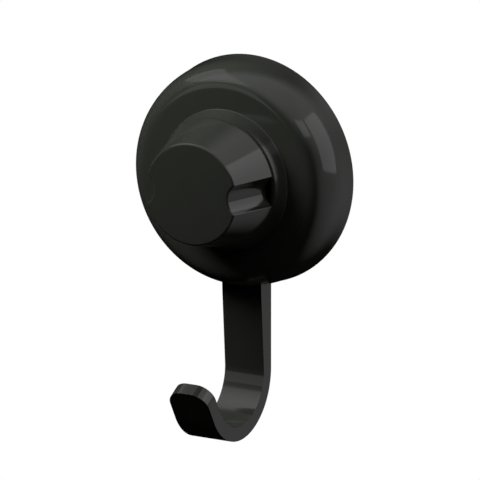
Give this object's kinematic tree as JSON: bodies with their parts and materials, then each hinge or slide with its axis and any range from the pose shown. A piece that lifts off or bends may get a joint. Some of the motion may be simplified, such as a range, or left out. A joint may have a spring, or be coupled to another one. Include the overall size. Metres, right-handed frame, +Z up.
{
  "type": "suction cup hook",
  "caption": "Twist-lock suction hook: round bell housing with a moulded J hook, a conical twist knob, and a suction cup drawn forward by a screw.",
  "frame": {"origin": "on the knob's axis, in the plane where the bell's rim meets the wall", "axes": "+X to the right, +Y into the wall, +Z up; the knob and the hook's tip point to -Y"},
  "size_m": [0.065, 0.0367, 0.1058],
  "materials": {
    "black_plastic": "semi-gloss moulded black",
    "knob_plastic": "semi-gloss moulded black, fine satin on the face",
    "acetal": "natural white moulded acetal",
    "brass": "turned",
    "spring_steel": "oiled spring steel",
    "zinc_plated_steel": "bright zinc plate",
    "soft_pvc": "clear soft vinyl, slightly hazy"
  },
  "bodies": {
    "housing": {"housing": "black_plastic", "thrust_washer": "acetal"},
    "knob": {"knob": "knob_plastic", "thread_insert": "brass", "retaining_ring": "spring_steel"},
    "plunger": {"stud": "zinc_plated_steel", "anchor": "acetal", "suction_cup": "soft_pvc"}
  },
  "joints": [
    {"name": "knob_turn", "type": "hinge", "parent": "housing", "child": "knob", "pos_m": [0, -0.02, 0], "axis": [0, 1, 0], "range_deg": [0, 990]},
    {"name": "cup_draw", "type": "slide", "parent": "housing", "child": "plunger", "axis": [0, -1, 0], "range_m": [0, 0.00344], "deforming": ["suction_cup"]}
  ],
  "couplings": [
    {"joint": "cup_draw", "follows": "knob_turn", "m_per_rad": 0.00019894}
  ]
}
